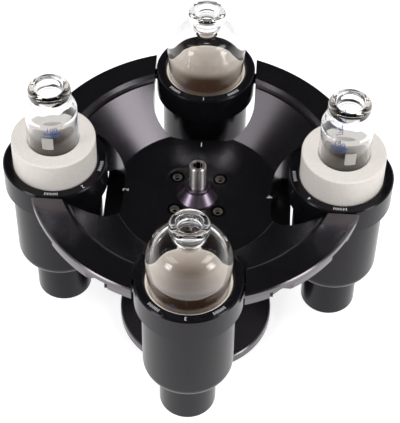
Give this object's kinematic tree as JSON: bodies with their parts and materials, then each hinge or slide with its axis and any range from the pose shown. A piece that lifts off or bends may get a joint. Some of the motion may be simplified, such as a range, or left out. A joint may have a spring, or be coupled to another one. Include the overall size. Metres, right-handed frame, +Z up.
{
  "type": "swing out rotor",
  "caption": "Swing-out centrifuge rotor: black bowl on a drive hub, with hanging buckets that swing level, holding long-cone and pear-shaped glass tubes.",
  "frame": {"origin": "centre of the foot flange's underside, on the rotor's axis", "axes": "+Z up the rotor's axis, +Y towards pocket 1, +X towards pocket 4"},
  "size_m": [0.281, 0.281, 0.2395],
  "materials": {
    "anodised_body": "black anodised aluminium, satin",
    "anodised_bucket": "black anodised aluminium, turned",
    "anodised_nut": "polished dark anodised",
    "polished_steel": "polished stainless steel",
    "pin_steel": "ground steel",
    "pin_black": "blackened steel",
    "screw_steel": "bright stainless steel",
    "adapter_plastic": "off-white polypropylene, satin",
    "cushion": "cream moulded plastic, satin",
    "pad_rubber": "black rubber",
    "tube_glass": "clear borosilicate glass"
  },
  "bodies": {
    "rotor": {"rotor_body": "anodised_body", "drive_hub": "anodised_body", "foot_flange": "anodised_body", "hub_screws": "screw_steel", "foot_screws": "screw_steel", "drive_pins": "pin_steel", "flared_nut": "anodised_nut", "pivot_pins_1": "pin_black", "pivot_pins_2": "pin_black", "pivot_pins_3": "pin_black", "pivot_pins_4": "pin_black"},
    "tie_down": {"tie_down_screw": "polished_steel", "retaining_ring": "pin_steel"},
    "bucket_1": {"bucket_1": "anodised_bucket"},
    "cushion_1": {"tube_cushion_1": "cushion"},
    "pear_1": {"pear_tube_1": "tube_glass"},
    "bucket_2": {"bucket_2": "anodised_bucket"},
    "adapter_2": {"tube_adapter_2": "adapter_plastic", "tip_pad_2": "pad_rubber"},
    "cone_2": {"cone_tube_2": "tube_glass"},
    "bucket_3": {"bucket_3": "anodised_bucket"},
    "cushion_3": {"tube_cushion_3": "cushion"},
    "pear_3": {"pear_tube_3": "tube_glass"},
    "bucket_4": {"bucket_4": "anodised_bucket"},
    "adapter_4": {"tube_adapter_4": "adapter_plastic", "tip_pad_4": "pad_rubber"},
    "cone_4": {"cone_tube_4": "tube_glass"}
  },
  "joints": [
    {"name": "tie_down_turn", "type": "hinge", "parent": "rotor", "child": "tie_down", "pos_m": [0, 0, 0.15], "axis": [0, 0, 1], "continuous": true},
    {"name": "swing_1", "type": "hinge", "parent": "rotor", "child": "bucket_1", "pos_m": [0, 0.103, 0.159], "axis": [1, 0, 0], "range_deg": [0, 90]},
    {"name": "lift_cushion_1", "type": "slide", "parent": "bucket_1", "child": "cushion_1", "axis": [0, 0, -1], "range_m": [-0.11, 0]},
    {"name": "lift_pear_1_tube", "type": "slide", "parent": "cushion_1", "child": "pear_1", "axis": [0, 0, -1], "range_m": [-0.095, 0]},
    {"name": "swing_2", "type": "hinge", "parent": "rotor", "child": "bucket_2", "pos_m": [-0.103, 0, 0.159], "axis": [0, 1, 0], "range_deg": [0, 90]},
    {"name": "lift_adapter_2", "type": "slide", "parent": "bucket_2", "child": "adapter_2", "axis": [0, 0, -1], "range_m": [-0.125, 0]},
    {"name": "lift_cone_2_tube", "type": "slide", "parent": "adapter_2", "child": "cone_2", "axis": [0, 0, -1], "range_m": [-0.15, 0]},
    {"name": "swing_3", "type": "hinge", "parent": "rotor", "child": "bucket_3", "pos_m": [0, -0.103, 0.159], "axis": [-1, 0, 0], "range_deg": [0, 90]},
    {"name": "lift_cushion_3", "type": "slide", "parent": "bucket_3", "child": "cushion_3", "axis": [0, 0, -1], "range_m": [-0.11, 0]},
    {"name": "lift_pear_3_tube", "type": "slide", "parent": "cushion_3", "child": "pear_3", "axis": [0, 0, -1], "range_m": [-0.095, 0]},
    {"name": "swing_4", "type": "hinge", "parent": "rotor", "child": "bucket_4", "pos_m": [0.103, 0, 0.159], "axis": [0, -1, 0], "range_deg": [0, 90]},
    {"name": "lift_adapter_4", "type": "slide", "parent": "bucket_4", "child": "adapter_4", "axis": [0, 0, -1], "range_m": [-0.125, 0]},
    {"name": "lift_cone_4_tube", "type": "slide", "parent": "adapter_4", "child": "cone_4", "axis": [0, 0, -1], "range_m": [-0.15, 0]}
  ]
}
